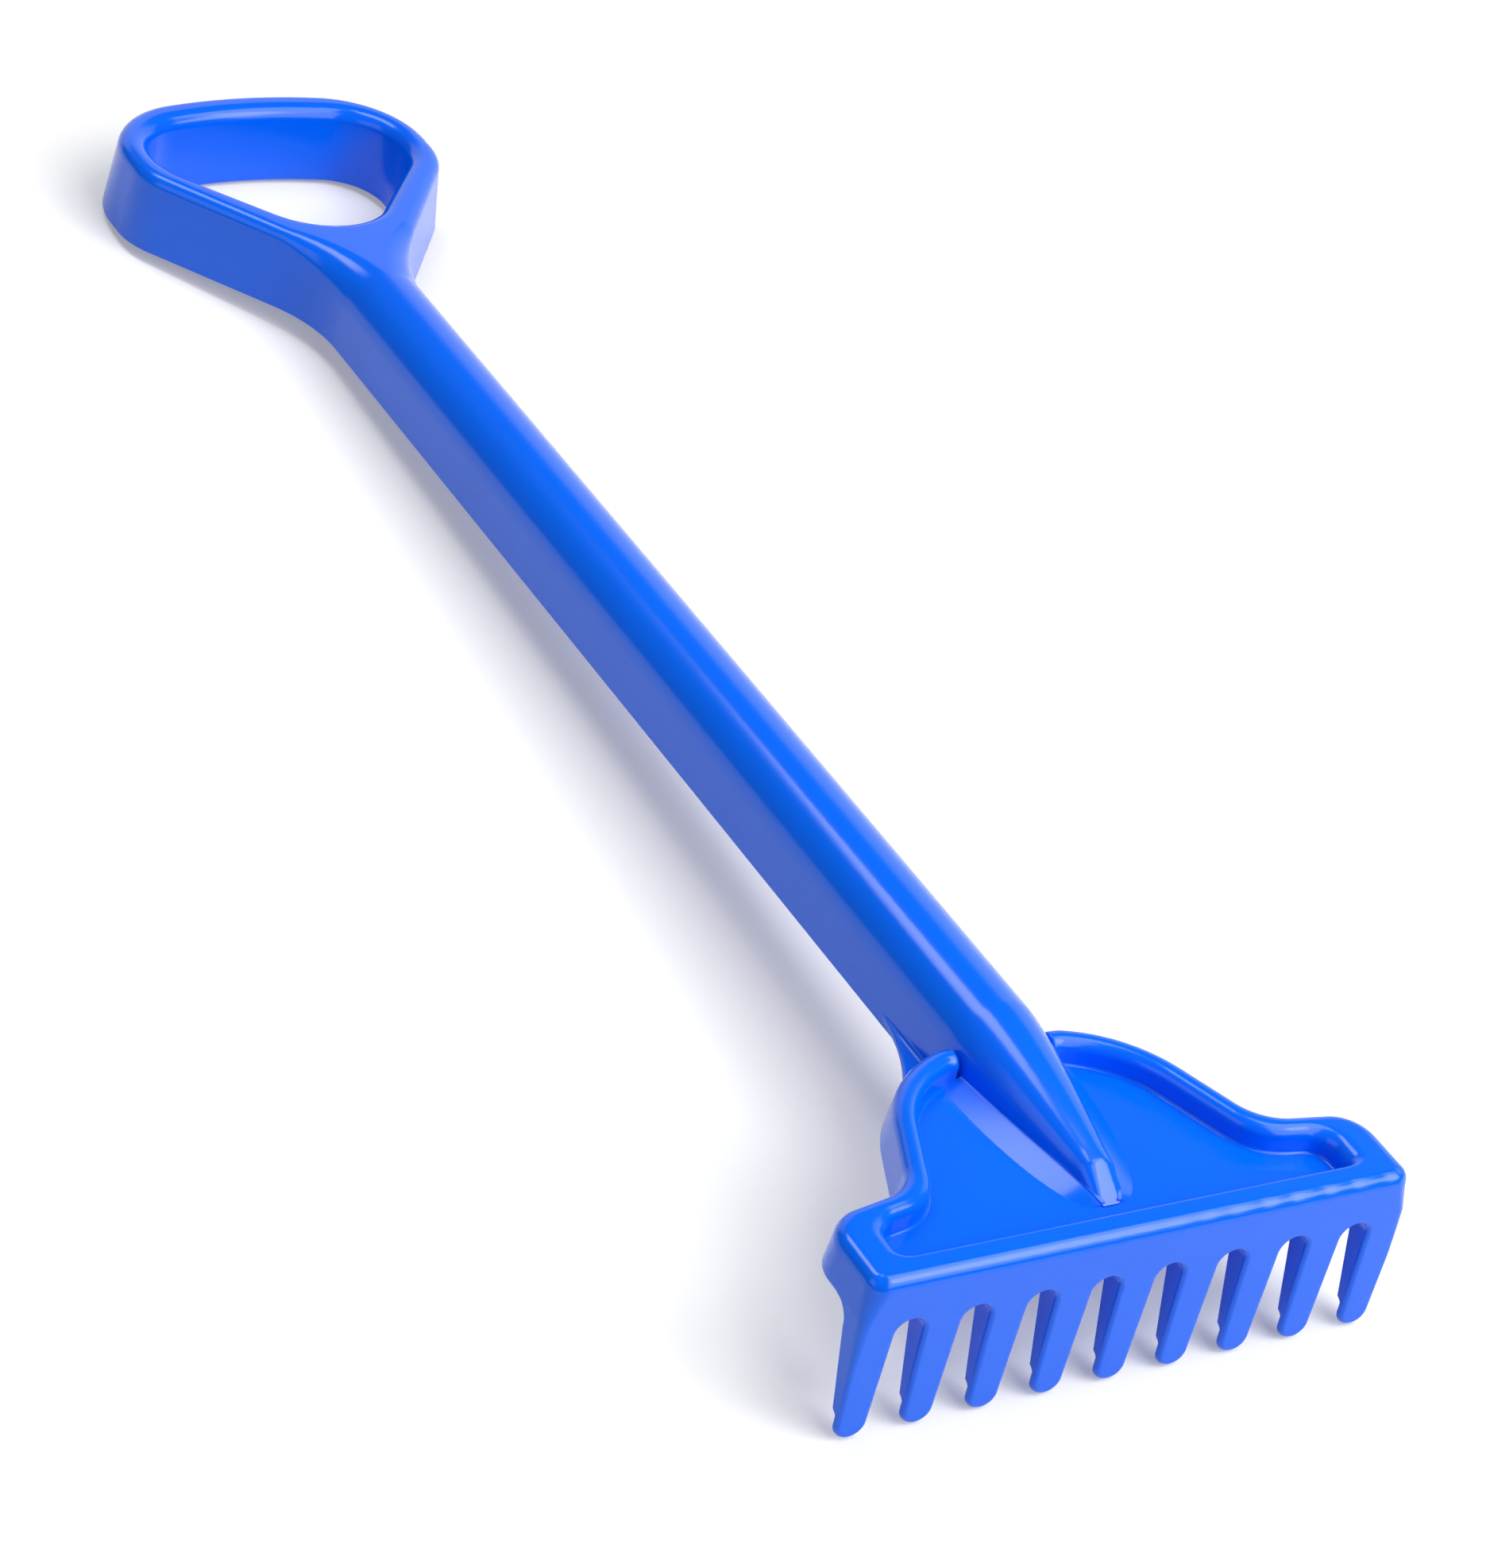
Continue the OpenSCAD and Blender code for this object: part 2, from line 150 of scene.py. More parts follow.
def rounded_path(points, radii):
    """The first of the points, then the arcs that round the inner corners, with the directions."""
    p = np.array(points, dtype=float)
    arcs = [corner_arc(p[i], p[i + 1], p[i + 2], r) for i, r in enumerate(radii)]
    at = np.concatenate([p[:1]] + [arc[0] for arc in arcs])
    way = np.concatenate([unit(p[1:2] - p[:1])] + [arc[1] for arc in arcs])
    return at, way


def moved(points, d):
    """Corners of a path, moved by d to the right of travel.

    A corner moves along the sum of the normals n and m of its two sides, by d (n + m) / (1 + n.m).
    """
    p = np.array(points, dtype=float)
    normals = -left_of(unit(p[1:] - p[:-1]))
    before = np.concatenate([normals[:1], normals])
    after = np.concatenate([normals, normals[-1:]])
    return p + d * (before + after) / (1 + (before * after).sum(axis=1, keepdims=True))


print("a round corner has", STEPS, "steps")

# %% [markdown]
# A moulded wall of this kind is the same everywhere: it leans by the draft that lets it leave the mould,
# and turns over at the top in a round. So the rake can be drawn by one short profile that is carried along
# the outlines. Blender's Bevel modifier could round a block instead, but here the round grows from the thin
# grip to the fat shaft, which a formula follows exactly.

# %% A wall and its round
WALL = 1.8
CROWN_R = 12.0
LEAST_BEND = 0.05
CROWN_SPRING = CROWN_TOP - CROWN_R
LEAN = (SHAFT_HALF - CROWN_R) / (CROWN_SPRING - SHAFT_FOOT)


def wall_edge(path, side, r, top, foot, slope, inset):
    """A wall and the round over it, as rows of points from the foot up.

    A point of the round lies r (1 - cos a) inside the outline and r sin a above the spring, for a from 0
    to a right angle. The wall leans outwards below the spring. The inset moves all of it inwards.
    """
    at, way = path
    inward = side * left_of(way)
    values = (r, top, foot, slope, inset)
    columns = [np.broadcast_to(np.asarray(v, dtype=float), len(at))[:, None] for v in values]
    r, top, foot, slope, inset = columns
    angles = quarter_turn(STEPS)
    bend = np.maximum(r - inset, LEAST_BEND)
    spring = top - r
    shift = np.concatenate([inset - slope * (spring - foot), inset + bend * (1 - np.cos(angles))], axis=1)
    z = np.concatenate([foot, spring + bend * np.sin(angles)], axis=1)
    xy = at[:, None, :] + shift[..., None] * inward[:, None, :]
    return np.concatenate([xy, z[..., None]], axis=2)


print("draft", round(np.degrees(atan(LEAN)), 1), "degrees")

# %% [markdown]
# A piece is put together from grids of points. Each grid is a list of sections, and each section is a loop:
# up the outside, over the top, down, and back along the lining. Neighbouring grids share their edge points,
# so the doubles are merged and the shading runs on without a seam. The Weighted Normal modifier then keeps
# flat faces flat next to small rounds.

# %% From grids to pieces
SHARP = radians(38)
WELD = 2e-6


def loop(outside, inside):
    """Sections that run along the outside and come back along the inside."""
    return np.concatenate([outside, inside[:, ::-1]], axis=1)


def grid_faces(rows, columns):
    """Quads between neighbouring sections, whose columns run round and close."""
    i, j = np.meshgrid(np.arange(rows - 1) * columns, np.arange(columns), indexing="ij")
    k = (j + 1) % columns
    return np.stack([i + j, i + k, i + columns + k, i + columns + j], axis=-1).reshape(-1, 4)


def finish_piece(name, points, faces):
    """Mesh object in the frame, with doubles merged, faces outwards and smooth but for sharp edges."""
    mesh = bpy.data.meshes.new(name)
    mesh.from_pydata(in_frame(points).tolist(), [], faces)
    bm = bmesh.new()
    bm.from_mesh(mesh)
    bmesh.ops.remove_doubles(bm, verts=bm.verts, dist=WELD)
    bmesh.ops.dissolve_degenerate(bm, edges=bm.edges, dist=WELD)
    bmesh.ops.recalc_face_normals(bm, faces=bm.faces)
    open_edges = sum(len(edge.link_faces) != 2 for edge in bm.edges)
    bm.to_mesh(mesh)
    bm.free()
    mesh.polygons.foreach_set("use_smooth", np.ones(len(mesh.polygons), dtype=bool))
    mesh.set_sharp_from_angle(angle=SHARP)
    piece = bpy.data.objects.new(name, mesh)
    bpy.context.collection.objects.link(piece)
    flat = piece.modifiers.new("flat faces stay flat", "WEIGHTED_NORMAL")
    flat.keep_sharp = True
    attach(piece, "root")
    print(name, len(mesh.polygons), "faces,", open_edges, "open edges")
    return piece


def make_piece(name, grids, capped=()):
    """Mesh object from grids of closed sections; capped names the (grid, section) pairs to fill."""
    points, faces, first = [], [], 0
    for g, grid in enumerate(grids):
        rows, columns = grid.shape[:2]
        points.append(grid.reshape(-1, 3))
        faces += (grid_faces(rows, columns) + first).tolist()
        ends = [row % rows for at, row in capped if at == g]
        faces += [(first + row * columns + np.arange(columns)).tolist() for row in ends]
        first += rows * columns
    return finish_piece(name, np.concatenate(points), faces)


print("edges over", round(np.degrees(SHARP)), "degrees stay sharp")

# %% [markdown]
# The hand loop is one half, from the middle of the far bar round to the shaft, and its mirror image. The
# outer outline ends on the shaft's side, the inner one on the middle line, so the last section is half of
# the shaft's own section followed by the flat web of the throat.

# %% Outlines of the hand loop
# Half width of the loop, widths of its side bars and its far bar, and the rounds over them
GRIP_HALF = 46.6
BAR_W, FAR_BAR_W = 8.4, 9.9
RING_R, OPENING_ROUND = 3.7, 4.4
# The far bar bows, and the sides run back, bend in and flare into the shaft
FAR_Y = LENGTH - LEAN * (CROWN_TOP - RING_R - SHAFT_FOOT)
FAR_BOW_R, FAR_TURN, FAR_CORNER_R = 130.0, radians(9.7), 28.0
SIDE_RUN, ARM_BEND_R = 41.2, 20.0
FORK_RUN, FLARE_R = 89.7, 44.0
# The hand opening narrows to a round end
OPENING_SIDE_RUN, OPENING_RUN = 38.3, 73.7
OPENING_END_HALF, OPENING_BEND_R = 10.0, 21.0

bow_x = FAR_BOW_R * tan(FAR_TURN / 2)
corner_y = FAR_Y - (GRIP_HALF - bow_x) * tan(FAR_TURN)
outer_corners = [
    (0, FAR_Y), (bow_x, FAR_Y), (GRIP_HALF, corner_y), (GRIP_HALF, FAR_Y - SIDE_RUN),
    (CROWN_R, FAR_Y - FORK_RUN), (CROWN_R, FLARE_Y),
]
opening_half = GRIP_HALF - BAR_W
opening_slope = atan((opening_half - OPENING_END_HALF) / (OPENING_RUN - OPENING_SIDE_RUN))
opening_end_r = OPENING_END_HALF / tan((np.pi / 2 - opening_slope) / 2)
opening_near = FAR_Y - OPENING_RUN
far_corners = moved(outer_corners, FAR_BAR_W)[:3]
far_corners[2] = opening_half, far_corners[1, 1] - (opening_half - far_corners[1, 0]) * tan(FAR_TURN)
near_corners = [
    (opening_half, FAR_Y - OPENING_SIDE_RUN),
    (OPENING_END_HALF, opening_near),
    (-OPENING_END_HALF, opening_near),
]
inner_corners = np.concatenate([far_corners, near_corners])
grip_outer = rounded_path(outer_corners, [FAR_BOW_R, FAR_CORNER_R, ARM_BEND_R, FLARE_R])
grip_inner = rounded_path(
    inner_corners, [FAR_BOW_R - FAR_BAR_W, FAR_CORNER_R - FAR_BAR_W, OPENING_BEND_R, opening_end_r])
print("hand opening", round(2 * opening_half, 1), "by", round(OPENING_RUN - FAR_BAR_W, 1), "mm")

# %% [markdown]
# The loop is a channel that is open below, so its wall has an outside and a lining. Both are the same
# function of the inset. Along the last corner, the flare, the outer round grows from that of the loop to the
# crown of the shaft.

# %% Hand loop
MIRROR = np.array([-1, 1, 1])
rows_before_flare = len(grip_outer[0]) - (STEPS + 1)


def grip_sections(inset):
    """Half of the loop: outer wall and round, web, inner round and wall.

    The outer round's radius grows evenly with the row along the flare, from the loop's to the crown's.
    """
    flare = np.clip((np.arange(len(grip_outer[0])) - rows_before_flare) / STEPS, 0, 1)
    outer_r = RING_R + (CROWN_R - RING_R) * flare
    outer = wall_edge(grip_outer, -1, outer_r, CROWN_TOP, SHAFT_FOOT, LEAN, inset)
    inner = wall_edge(grip_inner, 1, OPENING_ROUND, CROWN_TOP, SHAFT_FOOT, LEAN, inset)
    return np.concatenate([outer, inner[:, ::-1]], axis=1)[1:]


right_grip = loop(grip_sections(0), grip_sections(WALL))
print("half of the loop:", right_grip.shape[0], "sections of", right_grip.shape[1], "points")

# %% [markdown]
# In the head the shaft sinks forward into a nose like the bow of a boat: the section narrows and falls along
# y, and a plane cuts its front off at a slope. It could be sculpted, but four short functions of y say the
# same with a few numbers: the half width, the ridge, the sloping plane and the flat in front.

# %% Form of the nose
# Where the tip lies, how long the sloping front is, and the half widths at its two ends
NOSE_TIP_Y, NOSE_FRONT_RUN = 15.7, 7.8
NOSE_FRONT_HALF, NOSE_TIP_HALF = 4.9, 2.0
# How far the ridge falls, and the powers of the way that the width and the ridge follow
NOSE_FALL = 8.4
NARROW_POWER, FALL_POWER = 1.5, 1.3
# The front plane starts this far above the plate, and a flat on it runs out to nothing
NOSE_TIP_STEP = 0.3
NOSE_FLAT_HALF, NOSE_FLAT_RUN = 2.1, 12.0
nose_front_y = NOSE_TIP_Y + NOSE_FRONT_RUN


def way_to_front(y):
    """Share of the way from the root of the nose to its sloping front, from 0 to 1."""
    return np.clip((ROOT_Y - y) / (ROOT_Y - nose_front_y), 0, 1)


def nose_half(y):
    """Half width: the crown's radius less a power of the way to the front, then a root towards the tip."""
    behind = CROWN_R + (NOSE_FRONT_HALF - CROWN_R) * way_to_front(y) ** NARROW_POWER
    front = np.sqrt(np.clip((y - NOSE_TIP_Y) / NOSE_FRONT_RUN, 0, 1))
    return np.where(y >= nose_front_y, behind, NOSE_TIP_HALF + (NOSE_FRONT_HALF - NOSE_TIP_HALF) * front)


def crown_height(y):
    """Height of the ridge, which falls by a power of the way to the front."""
    return CROWN_TOP - NOSE_FALL * way_to_front(y) ** FALL_POWER


def front_slope(y):
    """Height of the plane that cuts the front off, just above the plate at the tip."""
    low, high = PLATE_TOP + NOSE_TIP_STEP, CROWN_TOP - NOSE_FALL
    return low + (high - low) * (y - NOSE_TIP_Y) / NOSE_FRONT_RUN


def flat_half(y):
    """Half width of the flat in front, which grows evenly from nothing to about the tip's own width."""
    return NOSE_FLAT_HALF * np.clip(1 - (y - NOSE_TIP_Y) / NOSE_FLAT_RUN, 0, 1)


print("nose", round(ROOT_Y - NOSE_TIP_Y, 1), "mm long, falls", NOSE_FALL, "mm")

# %% [markdown]
# The shaft is one straight section, and the nose's section at the root is the same one, so the two weld. The
# handle is then a single mesh of four grids: the two halves of the loop, the shaft and the nose. Its lining
# stops short of the sloping front, which leaves the tip solid.

# %% Shaft and nose
FLANK_START_Y = 62.3
HOLLOW_STOP = 2.0
# Thickness under the sloping front, upright, in walls, and the smallest round of the nose
FRONT_WALLS = 1.2
LEAST_NOSE_R = 0.2
# The rows of the nose close up towards the tip by this power
NOSE_ROWS, NOSE_ROW_POWER = 72, 1.6


def half_sections(y, inset):
    """Right half of the sections at y: foot, wall, a quarter round, and a flat to the middle.

    The round's radius is the half width less that of the flat, so it is the crown's own at the shaft, and
    small at the front, where a sloping plane cuts the height.
    """
    h = nose_half(y)[:, None] - inset
    crown = crown_height(y)[:, None] - inset
    top = np.minimum(crown, front_slope(y)[:, None] - FRONT_WALLS * inset)
    bend = np.minimum(h - flat_half(y)[:, None], np.maximum(top - PLATE_TOP, LEAST_NOSE_R))
    angles = quarter_turn(STEPS)
    sunk = np.clip((ROOT_Y - y) / (ROOT_Y - FLANK_START_Y), 0, 1)[:, None]
    foot = SHAFT_FOOT + (PLATE_FOOT - SHAFT_FOOT) * sunk
    x = np.concatenate([h + LEAN * (crown - h - foot), h - bend * (1 - np.cos(angles)), 0 * h], axis=1)
    z = np.concatenate([foot, top - bend * (1 - np.sin(angles)), top], axis=1)
    return np.stack([x, np.broadcast_to(y[:, None], x.shape), z], axis=2)


def whole_sections(y, inset):
    """Sections from the right foot over the ridge to the left foot."""
    right = half_sections(y, inset)
    return np.concatenate([right, right[:, -2::-1] * MIRROR], axis=1)


shaft_y = np.linspace(FLARE_Y, ROOT_Y, 2)
bow = np.linspace(0, 1, NOSE_ROWS)
nose_y = ROOT_Y + (NOSE_TIP_Y - ROOT_Y) * (1 - (1 - bow) ** NOSE_ROW_POWER)
hollow_y = ROOT_Y + (nose_y - ROOT_Y) * (ROOT_Y - nose_front_y - HOLLOW_STOP) / (ROOT_Y - NOSE_TIP_Y)
shaft_grid = loop(whole_sections(shaft_y, 0), whole_sections(shaft_y, WALL))
nose_grid = loop(whole_sections(nose_y, 0), whole_sections(hollow_y, WALL))

handle = make_piece("handle", [right_grip, right_grip * MIRROR, shaft_grid, nose_grid], capped=[(3, -1)])
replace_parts(handle, "grip_bar", "grip_left_arm", "grip_right_arm", "shaft", "shaft_nose")

# %% [markdown]
# On either side of the nose a low wedge slopes from its wall down to the plate, cut square where it starts
# and pointed at the tip. It is a profile of a few corners and a small fillet, carried along the nose.

# %% Flanks of the nose
FILLET_STEPS = 6
# Greatest width, its share at the ends, how much it swells between them, and how late it closes to a point
FLANK_W, FLANK_END_SHARE, FLANK_SWELL = 6.4, 0.8, 0.8
FLANK_POINT_POWER, FLANK_LEAST_W = 9, 0.02
# Rise for each millimetre of width, and how much steeper it gets towards the tip
FLANK_RISE, FLANK_STEEPER = 0.325, 0.08
FLANK_FILLET, FLANK_FILLET_SHARE = 0.5, 0.4
# How far the wedge reaches into the plate and into the nose, and how far it stops short of the tip
FLANK_SINK, FLANK_TUCK, FLANK_STOP = 0.9, 1.0, 0.4
FLANK_ROWS = 48


def flank_sections(y):
    """Wedge beside the nose: from the plate up its slope, a hollow quarter round to the wall, and down.

    With v from 0 at the start to 1 at the tip, its width is the end's share plus the swell times v (1 - v),
    times the root of one less a high power of v, which closes it.
    """
    v = (FLANK_START_Y - y) / (FLANK_START_Y - NOSE_TIP_Y)
    share = FLANK_END_SHARE + FLANK_SWELL * v * (1 - v)
    width = FLANK_W * share * np.sqrt(1 - v**FLANK_POINT_POWER) + FLANK_LEAST_W
    rise = width * (FLANK_RISE + FLANK_STEEPER * v)
    wall_x = nose_half(y)
    angles = quarter_turn(FILLET_STEPS)
    fillet = np.minimum(FLANK_FILLET, FLANK_FILLET_SHARE * width)
    x = np.stack([wall_x + width, wall_x + width], axis=1)
    z = np.stack([0 * y - FLANK_SINK, 0 * y], axis=1)
    round_x = wall_x[:, None] + fillet[:, None] * (1 - np.sin(angles))
    round_z = rise[:, None] + fillet[:, None] * (1 - np.cos(angles))
    inside_x = (wall_x - FLANK_TUCK)[:, None]
    x = np.concatenate([x, round_x, inside_x, inside_x], axis=1)
    z = PLATE_TOP + np.concatenate([z, round_z, round_z[:, -1:], z[:, :1]], axis=1)
    return np.stack([x, np.broadcast_to(y[:, None], x.shape), z], axis=2)


flank_y = FLANK_START_Y + (NOSE_TIP_Y + FLANK_STOP - FLANK_START_Y) * np.linspace(0, 1, FLANK_ROWS)
right_flank = flank_sections(flank_y)
make_piece("nose_flanks", [right_flank, right_flank * MIRROR], capped=[(0, 0), (0, -1), (1, 0), (1, -1)])

# %% [markdown]
# The rim is a bead that runs from the shaft round the shoulder and the end pads to the front border, with a
# skirt outside and the pocket's wall inside. One profile is carried along an outer and an inner outline at
# once, so the bead keeps its width round the bends. First come the outlines: the outer one, the foot of the
# skirt, whose front corner is tighter, and the pocket's edge.

# %% Outlines of the rim
# Widths of the bead along the back, at the ends of the head and in front
RIM_W, CHEEK_W, FRONT_W = 6.1, 12.0, 7.3
CHEEK_ROUND = 3.6
# From its end beside the shaft the bead turns by the back's slope, and round the shoulder to the side's
RIM_END_Y = 68.4
END_GAP, END_RUN, END_R = 0.4, 1.3, 10.0
BACK_SLOPE, BACK_RUN = radians(22), 1.4
SHOULDER_R, SIDE_SLOPE = 35.0, radians(67.6)
# Then it bends out to the end pad, and turns at the pad and at the front
BEND_Y, BEND_R, BEND_POCKET_R = 27.7, 12.5, 15.0
PAD_Y, PAD_R, PAD_POCKET_R = 23.4, 10.0, 6.0
FRONT_R, FRONT_FOOT_R, POCKET_R = 4.4, 2.4, 3.2

half_rim = HALF_HEAD - LEAN * (RIM_TOP - CHEEK_ROUND - SKIRT_FOOT)
rim_start = np.array([CROWN_R + END_GAP, RIM_END_Y])
end_reach = END_R * tan(BACK_SLOPE / 2)
shoulder_reach = SHOULDER_R * tan((SIDE_SLOPE - BACK_SLOPE) / 2)
rim_turn = np.array([SHAFT_HALF + END_RUN + end_reach, RIM_END_Y])
back_way = np.array([np.cos(BACK_SLOPE), -np.sin(BACK_SLOPE)])
shoulder = rim_turn + (end_reach + BACK_RUN + shoulder_reach) * back_way
bend = np.array([shoulder[0] + (shoulder[1] - BEND_Y) / tan(SIDE_SLOPE), BEND_Y])
rim_corners = np.array([rim_start, rim_turn, shoulder, bend, (half_rim, PAD_Y), (half_rim, 0), (0, 0)])
rim_outer = rounded_path(rim_corners, [END_R, SHOULDER_R, BEND_R, PAD_R, FRONT_R])
rim_foot = rounded_path(rim_corners, [END_R, SHOULDER_R, BEND_R, PAD_R, FRONT_FOOT_R])
pocket_corners = moved(rim_corners, RIM_W)
pocket_end = half_rim - CHEEK_W
pad_way = pocket_corners[4] - pocket_corners[3]
pocket_corners[4] += pad_way * (pocket_end - pocket_corners[4, 0]) / pad_way[0]
pocket_corners[5, 0] = pocket_end
pocket_corners[5:, 1] = FRONT_W
rim_inner = rounded_path(
    pocket_corners, [END_R - RIM_W, SHOULDER_R - RIM_W, BEND_POCKET_R, PAD_POCKET_R, POCKET_R])
print("head", round(2 * HALF_HEAD, 1), "mm wide, pocket", round(2 * pocket_end, 1), "mm")

# %% [markdown]
# The bead's rounds change along the way. They are larger over the ends and their front corners. Along the
# front border the plastic has sunk a little over each rib behind it, so the band of light there breaks into
# dots. These dips are real geometry: over a rib the outer round is larger, which takes more off the edge.

# %% Rounds along the rim
RIM_ROUND, FRONT_ROUND, CORNER_MORE = 3.0, 3.2, 0.8
POCKET_ROUND, POCKET_END_ROUND = 1.2, 4.2
# Where the rounds of the ends begin, outside and in the pocket, and the length over which they grow
CHEEK_FROM_X, POCKET_END_X, CHEEK_BLEND = 56.0, 46.0, 9.0
# Depth of the dips on the left and at most on the right, the length over which it grows, and a half width
DIP_LEFT, DIP_RIGHT, DIP_BLEND, DIP_HALF = 0.03, 0.3, 40.0, 2.2
# Travel along x below which a station lies on the straight front
STRAIGHT_FRONT = -0.99
# Stations that are added at the end beside the shaft, and along half of the front
END_ROWS, FRONT_ROWS = 6, 110


def with_more_rows(path):
    """The path with more stations: on its first stretch for the fingertip, and along the front border."""
    at, way = path
    share = np.linspace(0, 1, END_ROWS, endpoint=False)[:, None]
    to_middle = np.linspace(1, 0, FRONT_ROWS)[1:, None]
    first = at[:1] + share * (at[1:2] - at[:1])
    front = at[-1:] * np.hstack([to_middle, np.ones_like(to_middle)])
    first_way = np.repeat(way[:1], END_ROWS, axis=0)
    front_way = np.repeat(way[-1:], FRONT_ROWS - 1, axis=0)
    return np.concatenate([first, at[1:], front]), np.concatenate([first_way, way[1:], front_way])


def outer_round(path, deepest):
    """Radius of the outer round: larger over the cheek and its corner, and in front a dip over each rib.

    The corner adds the squared sine of twice the direction's angle. A dip is a bell curve, and between dips
    the radius is smaller by their depth, which grows from the middle of the border outwards to the deepest.
    """
    at, way = path
    cheek = np.clip((at[:, 0] - CHEEK_FROM_X) / CHEEK_BLEND, 0, 1) * way[:, 1] ** 2
    in_corner = (2 * way[:, 0] * way[:, 1]) ** 2
    along = np.where(way[:, 0] < 0, FRONT_ROUND + CORNER_MORE * in_corner, RIM_ROUND)
    depth = DIP_LEFT + (deepest - DIP_LEFT) * np.clip(at[:, 0] / DIP_BLEND, 0, 1)
    dips = np.exp(-(((at[:, :1] - rib_x) / DIP_HALF) ** 2)).max(axis=1)
    between = np.where(way[:, 0] < STRAIGHT_FRONT, depth * (1 - dips), 0)
    return along + (CHEEK_ROUND - along) * cheek - between


def pocket_round(path):
    """Radius of the inner round: the bead's along the back, larger at the end, and small in front."""
    at, way = path
    at_end = np.clip((at[:, 0] - POCKET_END_X) / CHEEK_BLEND, 0, 1) * way[:, 1] ** 2
    radius = RIM_ROUND + (POCKET_END_ROUND - RIM_ROUND) * at_end
    return radius + (POCKET_ROUND - radius) * np.clip(-way[:, 0], 0, 1) ** 2


print("dips along the border:", len(rib_x))

# %% [markdown]
# The profile goes up the skirt, over the bead, down the pocket's wall and through a fillet to the plate, and
# comes back along the lining. At the shaft the bead ends like a fingertip: there the whole profile moves
# inwards along a quarter circle.

# %% Rim
TIP_ROUND, TIP_WALL = 1.0, 0.3
# The fillet ends a hair above the plate, and the flange a little above the plate's underside
PLATE_FILLET, FILLET_LIFT, FLANGE_LIFT = 0.8, 0.01, 0.2


def rim_sections(deepest):
    """Right half of the rim: skirt, bead, pocket wall and a fillet to the plate, then the lining.

    At the distance s from its end, the fingertip's inset is r - sqrt(r^2 - (r - s)^2), for s up to r. In
    front the skirt's foot is the foot's own outline, widened to the head, and elsewhere it leans outwards.
    """
    outer, inner = with_more_rows(rim_outer), with_more_rows(rim_inner)
    steps = np.linalg.norm(np.diff(outer[0], axis=0), axis=1)
    run = np.concatenate([[0], np.cumsum(steps)])
    tip = TIP_ROUND * (1 - np.sqrt(1 - np.clip(1 - run / TIP_ROUND, 0, 1) ** 2))
    slope = LEAN * np.minimum(1, 1 + outer[1][:, 0])
    outside = wall_edge(outer, -1, outer_round(outer, deepest), RIM_TOP, SKIRT_FOOT, slope, tip)
    in_front = outer[1][:, 0] < 0
    outside[in_front, 0, :2] = with_more_rows(rim_foot)[0][in_front] * [HALF_HEAD / half_rim, 1]
    fillet_foot = PLATE_TOP + PLATE_FILLET
    pocket_wall = wall_edge(inner, 1, pocket_round(inner), RIM_TOP, fillet_foot, 0, tip)[:, ::-1]
    angles = quarter_turn(FILLET_STEPS)[1:]
    reach = tip[:, None] - PLATE_FILLET * (1 - np.cos(angles))
    fillet_xy = inner[0][:, None] + reach[..., None] * left_of(inner[1])[:, None]
    fillet_z = np.broadcast_to(fillet_foot - (PLATE_FILLET - FILLET_LIFT) * np.sin(angles), reach.shape)
    fillet = np.concatenate([fillet_xy, fillet_z[..., None]], axis=2)
    flange_foot = PLATE_FOOT + FLANGE_LIFT
    flange = fillet[:, -1:] * [1, 1, 0] + [0, 0, flange_foot]
    inset = np.maximum(WALL, tip + TIP_WALL)
    lining = [
        wall_edge(inner, 1, RIM_ROUND, RIM_TOP, flange_foot, 0, inset),
        wall_edge(outer, -1, RIM_ROUND, RIM_TOP, SKIRT_FOOT, slope, inset)[:, ::-1],
    ]
    return np.concatenate([outside, pocket_wall, fillet, flange] + lining, axis=1)


rim = make_piece("rim", [rim_sections(DIP_RIGHT), rim_sections(DIP_LEFT) * MIRROR], capped=[(0, 0), (1, 0)])
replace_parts(rim, "left_rim", "right_rim", "left_cheek", "right_cheek", "front_border")

# %% [markdown]
# The sunken plate fills the pocket. It is a flat slab whose outline follows the pocket's edge, turns in to
# the nose and runs round it, so the hollow under the nose stays open.

# %% Plate
# How far the plate reaches under the nose's wall, and how far its edge stops short of the tip
PLATE_TUCK, PLATE_STOP = 0.5, 0.3
PLATE_NOSE_ROWS = 40


def make_plate():
    """Slab with the outline at its top and its foot: two faces, and quads between them."""
    nose_side = np.linspace(FLANK_START_Y, NOSE_TIP_Y + PLATE_STOP, PLATE_NOSE_ROWS)
    beside_nose = np.stack([nose_half(nose_side) - PLATE_TUCK, nose_side], axis=1)
    half = np.concatenate([rim_inner[0][::-1], beside_nose])
    outline = np.concatenate([half, half[::-1] * [-1, 1]])
    n = len(outline)
    points = np.concatenate([np.column_stack([outline, np.full(n, z)]) for z in (PLATE_TOP, PLATE_FOOT)])
    i, k = np.arange(n), (np.arange(n) + 1) % n
    sides = np.stack([i, k, n + k, n + i], axis=1).tolist()
    return finish_piece("pocket_plate", points, sides + [i.tolist(), (n + i)[::-1].tolist()])


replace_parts(make_plate(), "head_plate")

# %% [markdown]
# The front wall and the nine tines are one comb. Each tine is a thin blade with a rib along either edge,
# open behind. Instead of nine boxes with bevels, a profile is carried along the comb's outline in x and z.
# The outline goes down the left end, round each tip and over each slot, and up the right end.

# %% Outline of the comb
TINE_TIP_W = 8.0
HALF_CIRCLE_STEPS = 24
SIDE_ROWS, HEAD_END_ROWS = 48, 12
slot_r = (tine_x[1] - tine_x[0] - tine_w) / 2


